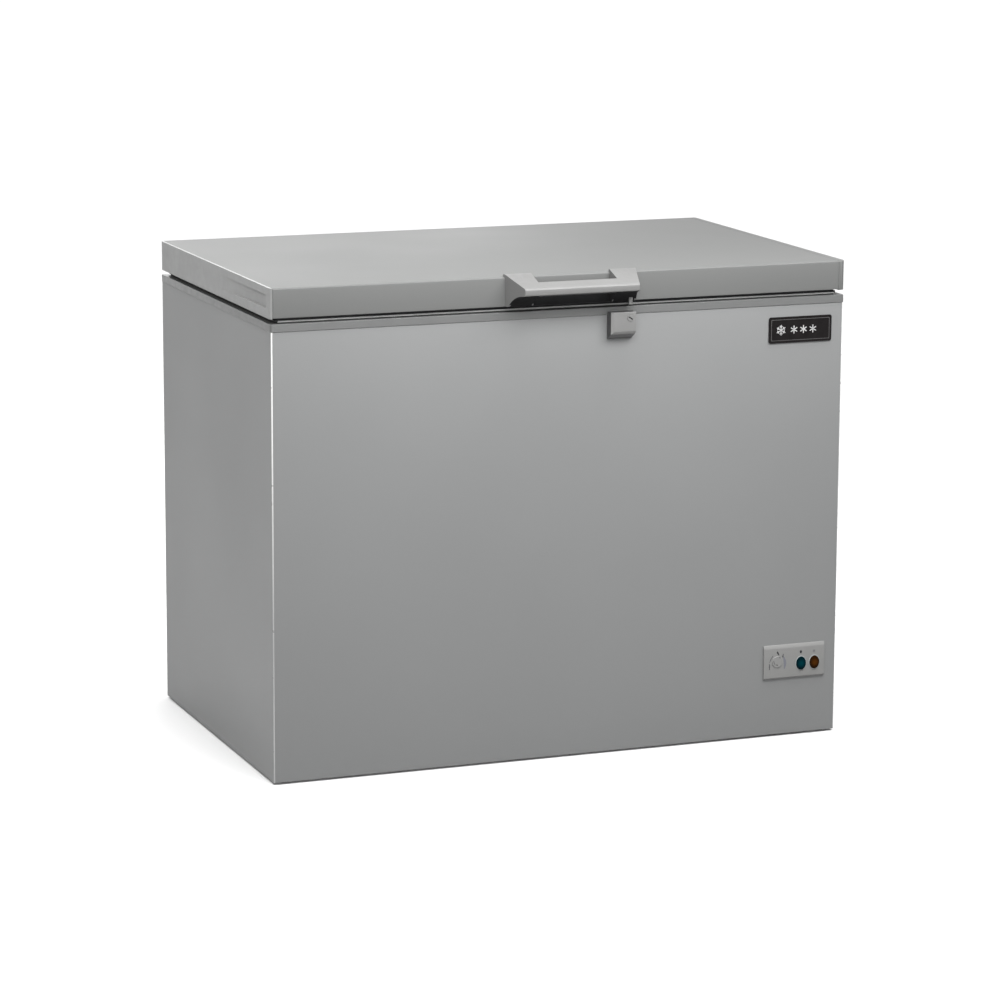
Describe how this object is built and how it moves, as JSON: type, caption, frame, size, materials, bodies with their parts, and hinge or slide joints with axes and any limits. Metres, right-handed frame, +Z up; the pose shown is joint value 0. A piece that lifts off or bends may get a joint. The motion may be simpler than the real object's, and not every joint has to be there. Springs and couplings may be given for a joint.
{
  "type": "chest freezer",
  "caption": "Chest freezer with a hinged insulated lid, front pull handle, key lock, control panel with dial and push buttons, sliding basket and rear compressor bay.",
  "frame": {"origin": "middle of the bounding box's base, on the floor under the freezer", "axes": "+X to the right along the front, +Y towards the back, +Z up; the front face looks along -Y"},
  "size_m": [1.1, 0.7498, 0.89],
  "materials": {
    "grey_paint": "satin silver-grey paint on folded steel sheet",
    "grey_plastic": "moulded grey plastic, fine grain",
    "lock_metal": "grey coated die casting",
    "handle_plastic": "light grey satin moulding",
    "white_liner": "white coated embossed sheet",
    "white_plastic": "white vacuum-formed plastic",
    "foam": "rigid polyurethane foam",
    "seal_rubber": "soft grey magnetic seal",
    "black_rubber": "matt black rubber",
    "black_gloss": "gloss black plate",
    "black_paint": "black enamel",
    "dark_plastic": "black moulded plastic",
    "zinc_steel": "zinc-plated steel",
    "bare_steel": "bright steel",
    "aluminium_tube": "drawn aluminium tube",
    "copper": "drawn copper tube",
    "teal_lens": "translucent teal plastic",
    "amber_lens": "translucent amber plastic",
    "white_wire": "white plastic-coated wire"
  },
  "bodies": {
    "cabinet": {"front_panel": "grey_paint", "side_panel_left": "grey_paint", "side_panel_right": "grey_paint", "back_panel": "grey_paint", "compressor_cover": "grey_paint", "side_vent_grille": "grey_plastic", "top_frame": "grey_plastic", "control_panel": "grey_plastic", "lock_case": "lock_metal", "inner_tub": "white_liner", "drain_tube": "white_plastic", "foam_body": "foam", "grommet_front_left": "black_rubber", "grommet_front_right": "black_rubber", "grommet_back_left": "black_rubber", "grommet_back_right": "black_rubber", "badge_plate": "black_gloss", "compressor": "black_paint", "cable_gland": "dark_plastic", "foot_front_left": "dark_plastic", "foot_front_right": "dark_plastic", "foot_back_left": "dark_plastic", "foot_back_right": "dark_plastic", "relay_cover": "dark_plastic", "wiring_loom": "dark_plastic", "thermostat_body": "dark_plastic", "power_switch_body": "dark_plastic", "fast_freeze_switch_body": "dark_plastic", "base_pan": "zinc_steel", "compressor_tray": "zinc_steel", "hinge_base_left": "zinc_steel", "hinge_base_right": "zinc_steel", "hinge_pin_left": "bare_steel", "hinge_pin_right": "bare_steel", "hinge_spring_left": "bare_steel", "hinge_spring_right": "bare_steel", "condenser_coil": "bare_steel", "evaporator_coil": "aluminium_tube", "filter_drier": "copper", "suction_pipe": "copper", "discharge_pipe": "copper"},
    "lid": {"lid_skin": "grey_paint", "lid_end_cap_left": "grey_plastic", "lid_end_cap_right": "grey_plastic", "lid_foam": "foam", "lid_liner": "white_plastic", "lid_gasket": "seal_rubber", "handle": "handle_plastic", "lock_striker": "bare_steel", "hinge_arm_left": "zinc_steel", "hinge_arm_right": "zinc_steel"},
    "lock_barrel": {"lock_cylinder": "bare_steel", "lock_cam": "zinc_steel"},
    "dial": {"thermostat_dial": "grey_plastic"},
    "power_button": {"power_switch_cap": "teal_lens"},
    "fast_freeze_button": {"fast_freeze_switch_cap": "amber_lens"},
    "basket": {"basket": "white_wire"},
    "basket_bail_front": {"basket_handle_front": "white_wire"},
    "basket_bail_back": {"basket_handle_back": "white_wire"},
    "drain_plug": {"drain_plug": "black_rubber"}
  },
  "joints": [
    {"name": "lid_hinge", "type": "hinge", "parent": "cabinet", "child": "lid", "pos_m": [0, 0.36645, 0.815], "axis": [-1, 0, 0], "range_deg": [0, 80]},
    {"name": "lock_turn", "type": "hinge", "parent": "cabinet", "child": "lock_barrel", "pos_m": [0.1165, -0.33755, 0.8035], "axis": [0, 1, 0], "range_deg": [0, 90]},
    {"name": "thermostat_turn", "type": "hinge", "parent": "cabinet", "child": "dial", "pos_m": [0.4277, -0.31955, 0.1428], "axis": [0, 1, 0], "range_deg": [0, 270]},
    {"name": "power_press", "type": "slide", "parent": "cabinet", "child": "power_button", "axis": [0, 1, 0], "range_m": [0, 0.0022], "stiffness_N_per_m": 900},
    {"name": "fast_freeze_press", "type": "slide", "parent": "cabinet", "child": "fast_freeze_button", "axis": [0, 1, 0], "range_m": [0, 0.0022], "stiffness_N_per_m": 900},
    {"name": "basket_slide", "type": "slide", "parent": "cabinet", "child": "basket", "axis": [1, 0, 0], "range_m": [-0.69, 0]},
    {"name": "bail_front_swing", "type": "hinge", "parent": "basket", "child": "basket_bail_front", "pos_m": [0.345, -0.23605, 0.7898], "axis": [-1, 0, 0], "range_deg": [0, 110]},
    {"name": "bail_back_swing", "type": "hinge", "parent": "basket", "child": "basket_bail_back", "pos_m": [0.345, 0.27095, 0.7898], "axis": [1, 0, 0], "range_deg": [0, 110]},
    {"name": "drain_plug_lift", "type": "slide", "parent": "cabinet", "child": "drain_plug", "axis": [0, 0, 1], "range_m": [0, 0.02]}
  ]
}
